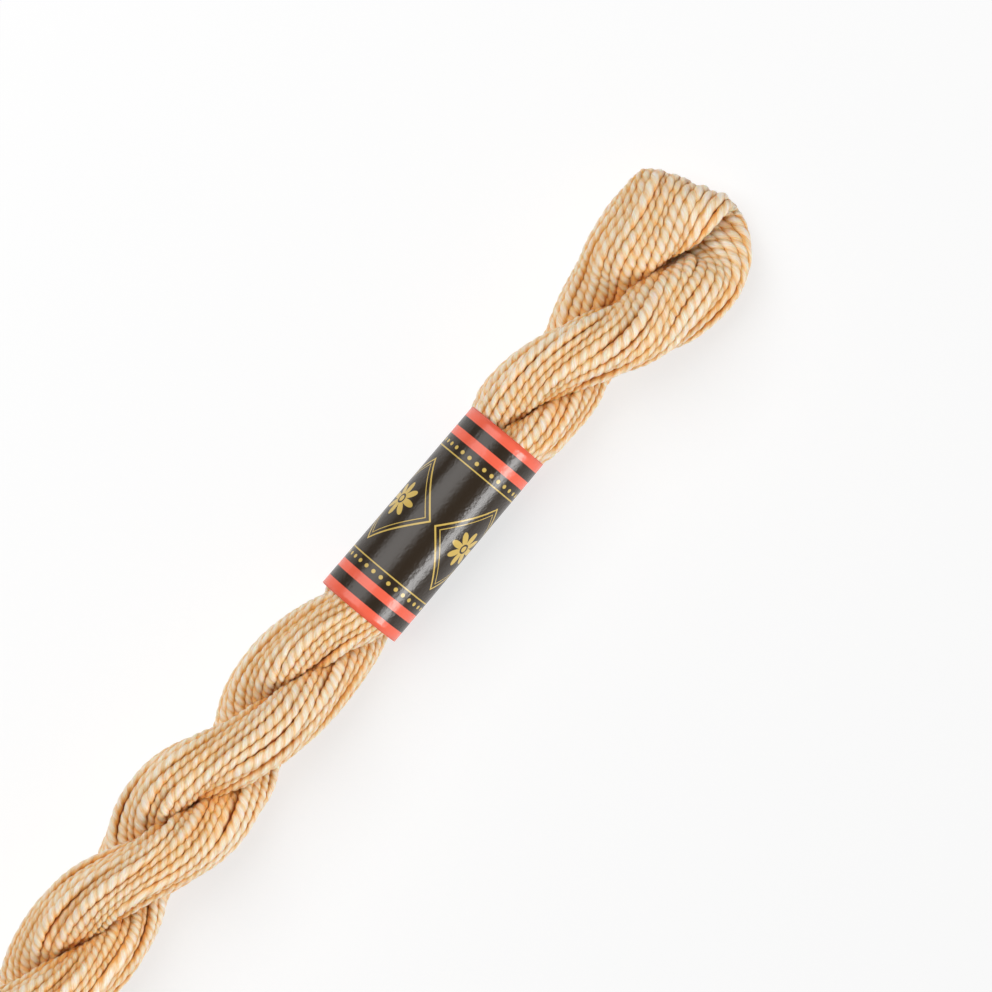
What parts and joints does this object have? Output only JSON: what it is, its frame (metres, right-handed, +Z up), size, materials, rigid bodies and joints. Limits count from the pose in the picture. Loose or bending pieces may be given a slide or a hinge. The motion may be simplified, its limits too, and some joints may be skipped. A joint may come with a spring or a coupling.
{
  "type": "twisted yarn hank",
  "caption": "Hank of thick two-ply pearl cotton, twisted and doubled into a right-handed rope with a folded loop at each end, held by a short printed paper band.",
  "frame": {"origin": "middle of the hank's length, on the line that its legs wind round, at the surface it rests on", "axes": "+X along the hank towards the end nearest to the paper band, +Z up from the surface"},
  "size_m": [0.1618, 0.0198, 0.0127],
  "materials": {
    "yarn": "lustrous mercerised cotton, honey beige",
    "paper": "glossy coated paper printed black, coral and gold"
  },
  "bodies": {
    "root": {"yarn_hank": "yarn", "paper_band": "paper"}
  },
  "joints": []
}
